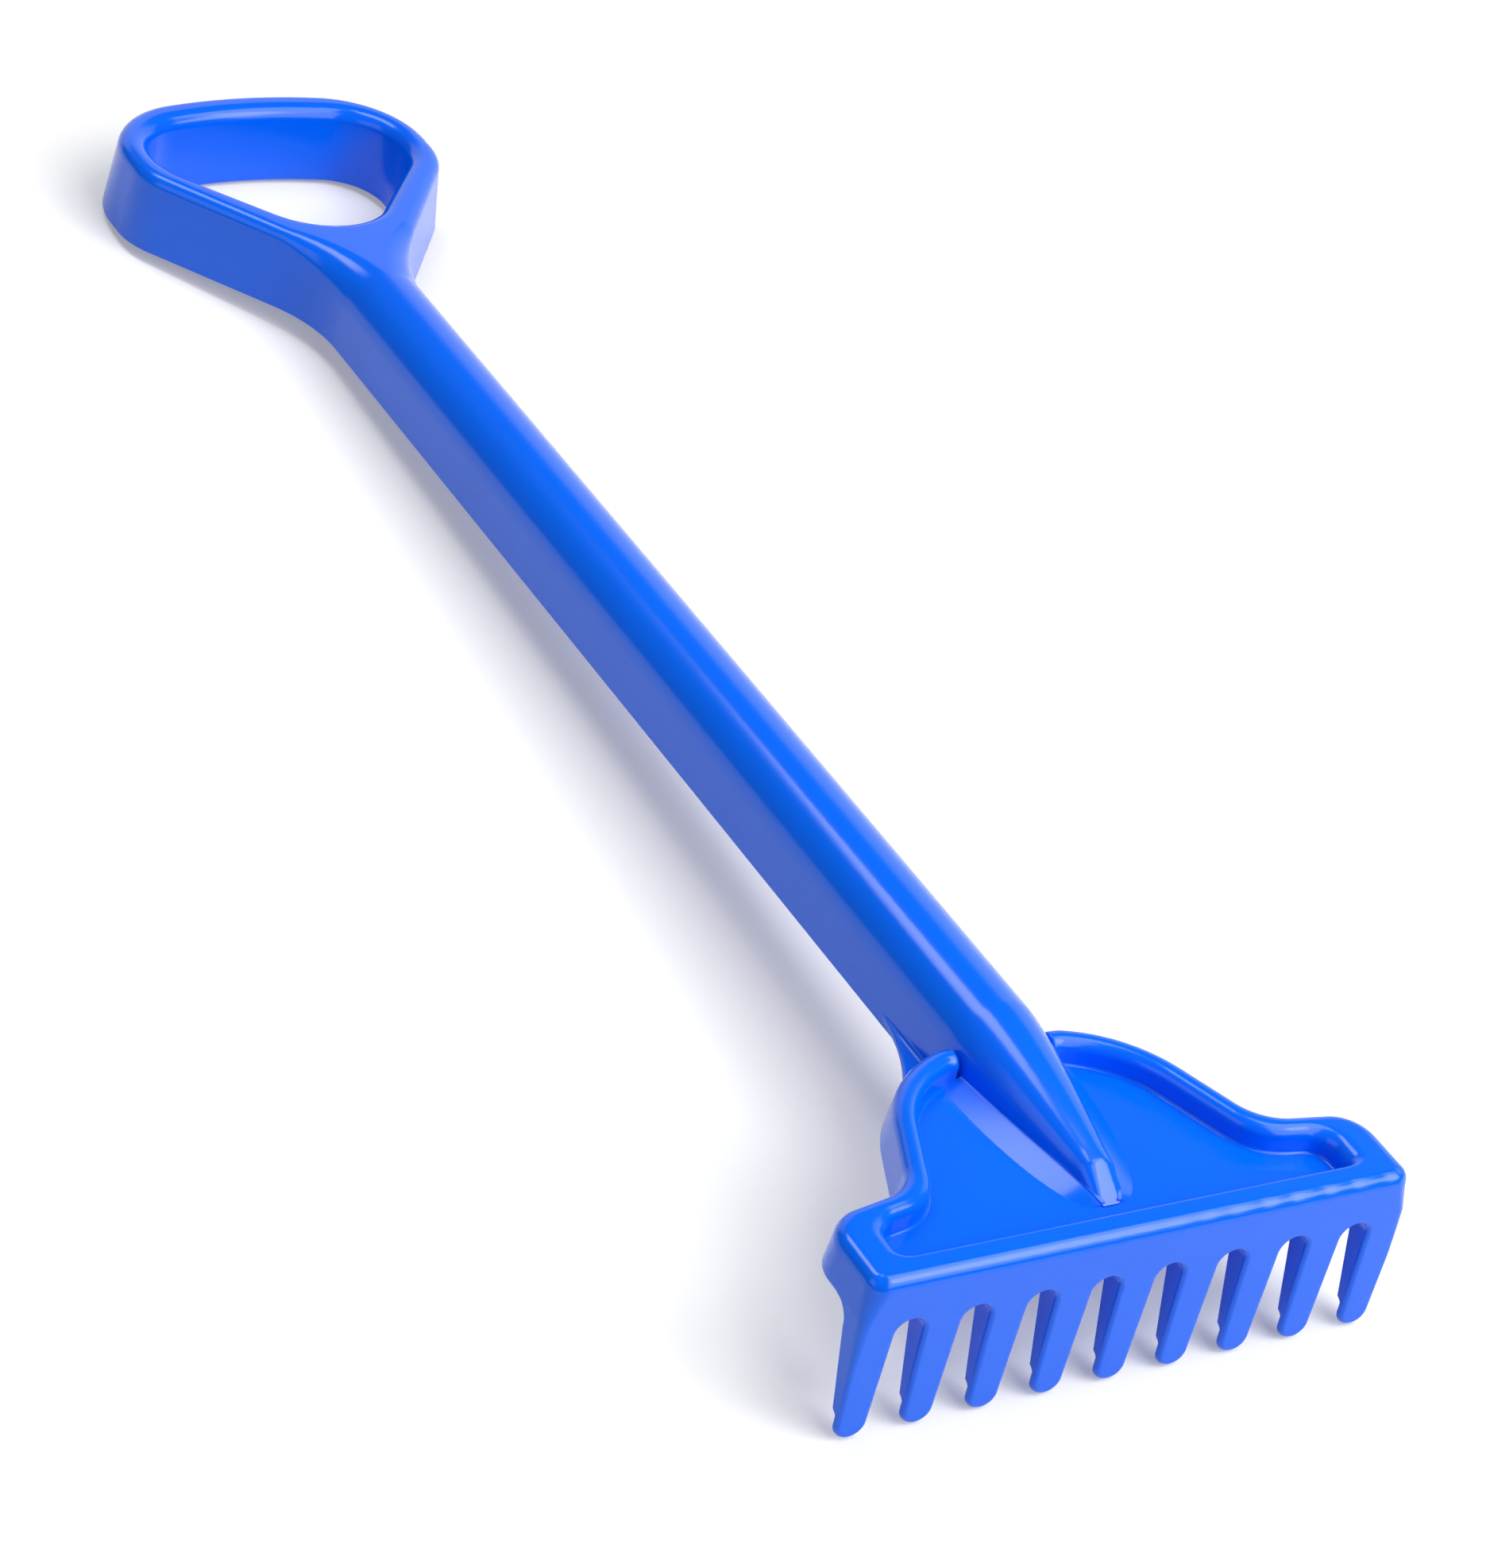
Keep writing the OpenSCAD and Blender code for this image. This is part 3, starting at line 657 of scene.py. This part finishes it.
def comb_outline():
    """Outline from the left end down, round each tip and over each slot, to the right end.

    Tips and slots are half circles, so only the angle changes along them: a tip's runs below its centre,
    a slot's above.
    """
    tip_r = TINE_TIP_W / 2
    under = np.linspace(np.pi, 2 * np.pi, HALF_CIRCLE_STEPS + 1)
    over = np.linspace(np.pi, 0, HALF_CIRCLE_STEPS + 1)
    side = np.linspace(0, 1, SIDE_ROWS, endpoint=False)[:, None]
    end_z = np.linspace(SLOT_SPRING, SKIRT_FOOT, HEAD_END_ROWS + 1)
    left_end = np.stack([0 * end_z - HALF_HEAD, end_z], axis=1)[:0:-1]
    stretches = [left_end]
    for i, x in enumerate(tine_x):
        left_top, left_low = np.array([x - tine_w / 2, SLOT_SPRING]), np.array([x - tip_r, tip_r])
        right_top, right_low = np.array([x + tine_w / 2, SLOT_SPRING]), np.array([x + tip_r, tip_r])
        stretches += [
            left_top + side * (left_low - left_top),
            np.stack([x + tip_r * np.cos(under), tip_r + tip_r * np.sin(under)], axis=1)[:-1],
            right_low + side * (right_top - right_low),
        ]
        if i < len(tine_x) - 1:
            middle = x + tine_w / 2 + slot_r
            slot = np.stack([middle + slot_r * np.cos(over), SLOT_SPRING + slot_r * np.sin(over)], axis=1)
            stretches.append(slot[:-1])
    return np.concatenate(stretches + [np.array([[HALF_HEAD, SLOT_SPRING]]), left_end[::-1] * [-1, 1]])


comb_line = comb_outline()
print("slots", round(2 * slot_r, 1), "mm wide, outline of", len(comb_line), "points")

# %% [markdown]
# The profile is a rounded front edge, the side, the rib's back and its inner side. The ribs get less deep
# towards the tips and fade out there, and at the ends of the head they swell into a fillet. The flat front
# and the flat back of the blades then fill the outline.

# %% Comb
BLADE_T = 1.5
# Depth of a rib at its lower end, the height of that end, and the height at which it has faded out
RIB_END, RIB_END_Z, RIB_FADE_Z = 3.1, 7.4, 6.7
RIB_FADED, RIB_SOFT = 0.05, 0.2
# Round of the front edges, which grows at the ends of the head above this height
EDGE_ROUND, CORNER_FADE_Z = 1.2, 20.0
END_FILLET = 5.4


def comb_sections(line):
    """Profile at each point of the outline: front round, side, rib's back, rib's inner side.

    The inward normal is the mean of those of the two neighbouring steps, and the ends have level normals.
    At the ends of the head the depth grows by f (1 - sqrt(1 - s^2)), with f the fillet and s the share of it.
    """
    steps = unit(np.diff(line, axis=0))
    way = unit(np.concatenate([steps[:1], steps[1:] + steps[:-1], steps[-1:]]))
    normal = left_of(way)
    z = line[:, 1]
    depth = np.interp(z, [RIB_FADE_Z, RIB_END_Z, SLOT_SPRING], [BLADE_T + RIB_FADED, RIB_END, RIB_TOP])
    outer = np.abs(line[:, 0]) > tine_x[-1]
    rise = np.where(outer, np.clip(1 - (SKIRT_FOOT - z) / END_FILLET, 0, 1), 0)
    depth += END_FILLET * (1 - np.sqrt(1 - rise**2))
    end = np.where(outer, np.clip((z - CORNER_FADE_Z) / (SKIRT_FOOT - CORNER_FADE_Z), 0, 1), 0)
    edge_r = EDGE_ROUND + (FRONT_FOOT_R - EDGE_ROUND) * end
    angles = quarter_turn(FILLET_STEPS)
    inset = [edge_r[:, None] * (1 - np.sin(angles))]
    back = [edge_r[:, None] * (1 - np.cos(angles))]
    rib = RIB_T + edge_r - EDGE_ROUND
    rib_corners = (
        (0 * z, depth - RIB_SOFT), (0 * z + RIB_SOFT, depth),
        (rib - RIB_SOFT, depth), (rib, depth - RIB_SOFT), (rib, 0 * z),
    )
    for reach, y in rib_corners:
        inset.append(reach[:, None])
        back.append(np.maximum(y, BLADE_T)[:, None])
    inset, back = np.concatenate(inset, axis=1), np.concatenate(back, axis=1)
    xz = line[:, None] + inset[..., None] * normal[:, None]
    return np.stack([xz[..., 0], back, xz[..., 1]], axis=2)


def make_comb():
    """Comb from its open grid, with one face for the front, one for the back and one for the top."""
    grid = comb_sections(comb_line)
    rows, columns = grid.shape[:2]
    i, j = np.meshgrid(np.arange(rows - 1) * columns, np.arange(columns - 1), indexing="ij")
    k = i + j
    faces = np.stack([k, k + 1, k + columns + 1, k + columns], axis=-1).reshape(-1, 4).tolist()
    starts = np.arange(rows) * columns
    faces.append(starts.tolist())
    faces.append((starts + columns - 1)[::-1].tolist())
    faces.append(np.concatenate([np.arange(columns), (starts[-1] + np.arange(columns))[::-1]]).tolist())
    return finish_piece("comb", grid.reshape(-1, 3), faces)


comb = make_comb()
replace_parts(comb, "tine_bar", *TINES)

# %% [markdown]
# Behind the rim a thin web on either side ties the head to the shaft. It runs out in a hollow curve, and a
# fillet joins it to the shaft's wall. The profile, from the wall out over the top and back below, is carried
# along y, and its reach follows a curve of three points.

# %% Webs
WEB_T, WEB_FILLET = 1.8, 1.2
WEB_CURVE = np.array([(13.0, 93.0), (15.3, 74.5), (27.5, 61.6)])
# How far the web is sunk in the shaft's wall, and its least reach out of it
WEB_SINK, WEB_LEAST_REACH = 0.1, 0.05
# Shares of the reach that the fillet and the rounded edge take at most
WEB_FILLET_SHARE, WEB_EDGE_SHARE = 0.6, 0.3
WEB_EDGE_STEPS, WEB_ROWS = 8, 40


def web_sections(t):
    """Web beside the shaft: hollow quarter round off the wall, level top, rounded edge, level underside.

    For t from 0 to 1, the edge is (1 - t)^2 A + 2 t (1 - t) B + t^2 C for the curve's points A, B and C.
    """
    shares = np.stack([(1 - t) ** 2, 2 * t * (1 - t), t**2], axis=1)
    edge_x, y = (shares @ WEB_CURVE).T
    top = SKIRT_FOOT
    wall_x = CROWN_R + LEAN * (CROWN_SPRING - top) - WEB_SINK
    reach = np.maximum(edge_x - wall_x, WEB_LEAST_REACH)
    fillet = np.minimum(WEB_FILLET, WEB_FILLET_SHARE * reach)[:, None]
    edge = np.minimum(WEB_T / 2, WEB_EDGE_SHARE * reach)[:, None]
    hollow = quarter_turn(FILLET_STEPS)
    half_turn = np.linspace(np.pi / 2, -np.pi / 2, WEB_EDGE_STEPS + 1)
    out_x = wall_x + reach[:, None]
    x = np.concatenate([
        wall_x + fillet * (1 - np.cos(hollow)),
        out_x - edge + edge * np.cos(half_turn),
        wall_x + 0 * fillet,
    ], axis=1)
    z = np.concatenate([
        top + fillet * (1 - np.sin(hollow)),
        top - WEB_T / 2 + WEB_T / 2 * np.sin(half_turn) + 0 * edge,
        top - WEB_T + 0 * fillet,
    ], axis=1)
    return np.stack([x, np.broadcast_to(y[:, None], x.shape), z], axis=2)


web_grid = web_sections(np.linspace(0, 1, WEB_ROWS))
for side, grid in (("right", web_grid), ("left", web_grid * MIRROR)):
    web = make_piece(f"{side}_gusset", [grid], capped=[(0, 0), (0, -1)])
    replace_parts(web, f"{side}_web")

# %% [markdown]
# The plastic is pigmented polypropylene out of a polished mould. It is glossy, a little soft and weak in its
# reflections, and not quite even: the skin has a fine grain of about half a millimetre, and the cooling
# walls pull in by a hair over a few centimetres, which makes long highlights waver.


# %% Colours and nodes
def linear(colour):
    """sRGB hex value as linear red, green, blue and alpha: straight when dark, and a power of 2.4 above."""
    c = np.array([int(colour[i:i + 2], 16) for i in (0, 2, 4)]) / 255
    low, high = c / 12.92, ((c + 0.055) / 1.055) ** 2.4
    return (*np.where(c <= 0.04045, low, high).tolist(), 1.0)


def add_node(tree, kind, settings=(), links=()):
    """Adds a node, sets its properties and inputs, and links inputs from outputs, by name or number."""
    node = tree.nodes.new(kind)
    for key, value in dict(settings).items():
        if isinstance(key, str) and hasattr(node, key):
            setattr(node, key, value)
        else:
            node.inputs[key].default_value = value
    for key, output in dict(links).items():
        tree.links.new(output, node.inputs[key])
    return node


WHITE = linear("ffffff")
BLUE, BLUE_DEEP = "0067f4", "0062ee"
print("blue in linear light", [round(c, 3) for c in linear(BLUE)[:3]])

# %% [markdown]
# The pigment drifts a little from one blue to a deeper one, on the same slow noise that bends the wall. The
# fine noise sets the roughness and the grain of the skin. Both are sized in real millimetres.

# %% Moulded polypropylene
GRAIN_MM, GRAIN_DEPTH_MM = 0.5, 0.0015
WAVE_MM, WAVE_DEPTH_MM = 38.0, 0.05
NOISE_DETAIL = 2.0
POLYPROPYLENE_IOR, MIRROR_LEVEL = 1.49, 0.4
SMOOTH, DULL = 0.12, 0.2
# A Mix node's colour inputs and output have numbers, because its other kinds share their names
MIX_A, MIX_B, MIX_RESULT = 6, 7, 2


def moulded_polypropylene():
    """Blue polypropylene: even pigment with a faint drift, fine skin grain and slow waves in the wall."""
    material = bpy.data.materials.new("moulded polypropylene, blue")
    material.use_nodes = True
    tree = material.node_tree
    shader = tree.nodes["Principled BSDF"]
    place = {"Vector": add_node(tree, "ShaderNodeTexCoord").outputs["Object"]}
    wide = {"Scale": 1 / (WAVE_MM * MM), "Detail": NOISE_DETAIL}
    fine = {"Scale": 1 / (GRAIN_MM * MM), "Detail": NOISE_DETAIL}
    drift = add_node(tree, "ShaderNodeTexNoise", wide, place).outputs["Fac"]
    grain = add_node(tree, "ShaderNodeTexNoise", fine, place).outputs["Fac"]
    blues = {"data_type": "RGBA", MIX_A: linear(BLUE), MIX_B: linear(BLUE_DEEP)}
    pigment = add_node(tree, "ShaderNodeMix", blues, {0: drift})
    tree.links.new(pigment.outputs[MIX_RESULT], shader.inputs["Base Color"])
    gloss = add_node(tree, "ShaderNodeMapRange", {"To Min": SMOOTH, "To Max": DULL}, {"Value": grain})
    tree.links.new(gloss.outputs["Result"], shader.inputs["Roughness"])
    wave_depth = {"Strength": 1.0, "Distance": WAVE_DEPTH_MM * MM}
    waves = add_node(tree, "ShaderNodeBump", wave_depth, {"Height": drift})
    grain_depth = {"Strength": 1.0, "Distance": GRAIN_DEPTH_MM * MM}
    skin = add_node(tree, "ShaderNodeBump", grain_depth, {"Height": grain, "Normal": waves.outputs["Normal"]})
    tree.links.new(skin.outputs["Normal"], shader.inputs["Normal"])
    shader.inputs["IOR"].default_value = POLYPROPYLENE_IOR
    shader.inputs["Specular IOR Level"].default_value = MIRROR_LEVEL
    return material


plastic = moulded_polypropylene()
shown = [o for o in bpy.data.objects if o.type == "MESH" and not o.hide_render]
for piece in shown:
    piece.data.materials.clear()
    piece.data.materials.append(plastic)
print("plastic on", sorted(o.name for o in shown))

# %% [markdown]
# The rake lies on the floor on the tips of its tines and the far end of the grip, so the floor is tilted by
# a few degrees in this frame. It is a pale diffuse surface that takes the shadow, with a little light of its
# own to the camera and in reflections, so that it runs on into the white of the background.

# %% Floor
PAPER, PAPER_ROUGH, PAPER_LIFT = "dcdcdc", 0.9, 0.28
# Half of the floor's side and its gap below the rake, in metres
FLOOR_HALF, FLOOR_DROP = 1.2, 0.0005


def seen_or_mirrored(tree):
    """One for camera, glossy and transmission rays, and nothing for the rest."""
    ray = add_node(tree, "ShaderNodeLightPath")
    most = ray.outputs["Is Camera Ray"]
    for kind in ("Is Glossy Ray", "Is Transmission Ray"):
        either = {0: most, 1: ray.outputs[kind]}
        most = add_node(tree, "ShaderNodeMath", {"operation": "MAXIMUM"}, either).outputs["Value"]
    return most


def paper_sweep():
    """White paper: rough and pale, with a light of its own where it is seen or mirrored."""
    material = bpy.data.materials.new("white paper sweep")
    material.use_nodes = True
    tree = material.node_tree
    sheet = tree.nodes["Principled BSDF"]
    sheet.inputs["Base Color"].default_value = linear(PAPER)
    sheet.inputs["Roughness"].default_value = PAPER_ROUGH
    sheet.inputs["Emission Color"].default_value = WHITE
    own_light = {"operation": "MULTIPLY", 1: PAPER_LIFT}
    lift = add_node(tree, "ShaderNodeMath", own_light, {0: seen_or_mirrored(tree)})
    tree.links.new(lift.outputs["Value"], sheet.inputs["Emission Strength"])
    return material


floor_tilt = atan(SHAFT_FOOT / LENGTH)
floor_span = FLOOR_HALF * np.array([(-1, -1), (1, -1), (1, 1), (-1, 1)])
floor_z = (floor_span[:, 1] + LENGTH / 2 * MM) * tan(floor_tilt) - FLOOR_DROP
floor_mesh = bpy.data.meshes.new("floor")
floor_mesh.from_pydata(np.column_stack([floor_span, floor_z]).tolist(), [], [(0, 1, 2, 3)])
floor_mesh.materials.append(paper_sweep())
floor = bpy.data.objects.new("floor", floor_mesh)
bpy.context.collection.objects.link(floor)
print("floor tilt", round(np.degrees(floor_tilt), 2), "degrees")

# %% [markdown]
# The world fills in evenly. To the camera it is white, and in reflections it is a white backdrop behind the
# rake, in an otherwise dark studio. A modelled backdrop could do the same, but it could also stand in the way
# of a lamp.

# %% World
FILL, STUDIO = 0.08, 0.1
# The backdrop ends where a direction's share along an axis passes a limit, over a soft edge
BACKDROP_TOP, BACKDROP_LEFT, BACKDROP_FRONT, BACKDROP_FADE = 0.525, -0.25, 0.1, 0.055

world = bpy.data.worlds.new("studio")
bpy.context.scene.world = world
world.use_nodes = True
sky = world.node_tree
ray = add_node(sky, "ShaderNodeLightPath")
looking = {"Vector": add_node(sky, "ShaderNodeTexCoord").outputs["Generated"]}
direction = add_node(sky, "ShaderNodeSeparateXYZ", links=looking)

# The axis, the limit on it, and the levels below and above that limit
backdrop_edges = [
    ("Z", BACKDROP_TOP, 1.0, STUDIO),
    ("X", BACKDROP_LEFT, STUDIO, 1.0),
    ("Y", BACKDROP_FRONT, STUDIO, 1.0),
]
backdrop = None
for axis, limit, below, above in backdrop_edges:
    soft_edge = {
        "From Min": limit - BACKDROP_FADE, "From Max": limit + BACKDROP_FADE,
        "To Min": below, "To Max": above,
    }
    edge = add_node(sky, "ShaderNodeMapRange", soft_edge, {"Value": direction.outputs[axis]})
    levels = {1: edge.outputs["Result"]}
    if backdrop is not None:
        levels[0] = backdrop
    backdrop = add_node(sky, "ShaderNodeMath", {"operation": "MINIMUM", 0: 1.0}, levels).outputs["Value"]
glossy = {"Factor": ray.outputs["Is Glossy Ray"], "B": backdrop}
mirrored = add_node(sky, "ShaderNodeMix", {"A": FILL}, glossy)
straight = {0: ray.outputs["Is Camera Ray"], 1: ray.outputs["Is Transmission Ray"]}
seen = add_node(sky, "ShaderNodeMath", {"operation": "MAXIMUM"}, straight)
shown_level = {"Factor": seen.outputs["Value"], "A": mirrored.outputs["Result"]}
level = add_node(sky, "ShaderNodeMix", {"B": 1.0}, shown_level)
sky.nodes["Background"].inputs["Color"].default_value = WHITE
sky.links.new(level.outputs["Result"], sky.nodes["Background"].inputs["Strength"])
print("backdrop of", len(backdrop_edges), "edges, fill", FILL)

# %% [markdown]
# Softboxes in front and above on the right light the top and the front wall, and a brighter core in front of
# them sets the glint on the border and the nose. One behind draws the highlight on the crown, and a card on
# the left lifts the shaded side. Places and sizes are in metres.

# %% Softboxes
HEAD = (0, -0.2, 0.04)
# Straight below the top softbox but for a hair, which says how that lamp is turned about its own axis
BELOW_TOP = (0.65, -0.3201, 0.04)


def softbox(name, at, size, radiance, target):
    """Rectangular area lamp at a place, turned towards a target; its power is pi times radiance and area."""
    lamp = bpy.data.lights.new(name, "AREA")
    lamp.shape = "RECTANGLE"
    lamp.size, lamp.size_y = size
    lamp.energy = np.pi * size[0] * size[1] * radiance
    holder = bpy.data.objects.new(name, lamp)
    away = unit(np.array(at) - np.array(target))
    side = unit(np.cross([0, 0, 1], away))
    axes = np.column_stack([side, np.cross(away, side), away])
    holder.matrix_world = Matrix.Translation(at) @ Matrix(axes.tolist()).to_4x4()
    bpy.context.collection.objects.link(holder)
    print(name, "lamp", round(lamp.energy, 1), "W")


softbox("front softbox", at=(0.55, -1.6, 1.3), size=(1.5, 1.9), radiance=3.0, target=(0.55, -0.25, 0.04))
softbox("front core", at=(0.94, -1.0, 1.2), size=(0.75, 0.9), radiance=5.0, target=HEAD)
softbox("top softbox", at=(0.65, -0.32, 1.6), size=(1.1, 0.95), radiance=3.7, target=BELOW_TOP)
softbox("back softbox", at=(-0.27, 0.71, 1.64), size=(0.56, 0.96), radiance=5.8, target=HEAD)
softbox("left card", at=(-1.3, -0.3, 0.75), size=(1.2, 0.8), radiance=1.0, target=HEAD)

# %% [markdown]
# The camera stands at the photograph's angle: in front of the tines, to the left and above, and rolled a
# little. A Track To constraint could aim it, but it would not give the roll, so the three turns are written.

# %% Camera
CAMERA_AT = (-0.5598, -0.8268, 0.6521)
CAMERA_YAW, CAMERA_PITCH, CAMERA_ROLL = radians(-36.42), radians(56.69), radians(13.9)
FOCAL_MM, SENSOR_MM = 106.7, 36
lens = bpy.data.cameras.new("camera")
lens.lens = FOCAL_MM
lens.sensor_width = SENSOR_MM
camera = bpy.data.objects.new("camera", lens)
camera.matrix_world = (
    Matrix.Translation(CAMERA_AT) @ Matrix.Rotation(CAMERA_YAW, 4, "Z")
    @ Matrix.Rotation(CAMERA_PITCH, 4, "X") @ Matrix.Rotation(CAMERA_ROLL, 4, "Z"))
bpy.context.collection.objects.link(camera)
bpy.context.scene.camera = camera
bpy.context.scene.view_settings.view_transform = "Standard"
print("camera at", CAMERA_AT, "with a lens of", FOCAL_MM, "mm")

# %% [markdown]
# The dressed rake has to keep the size of the solids, whose box was taken at the start.
# Here the view layer is brought up to date.

# %% Last update
bpy.context.view_layer.update()
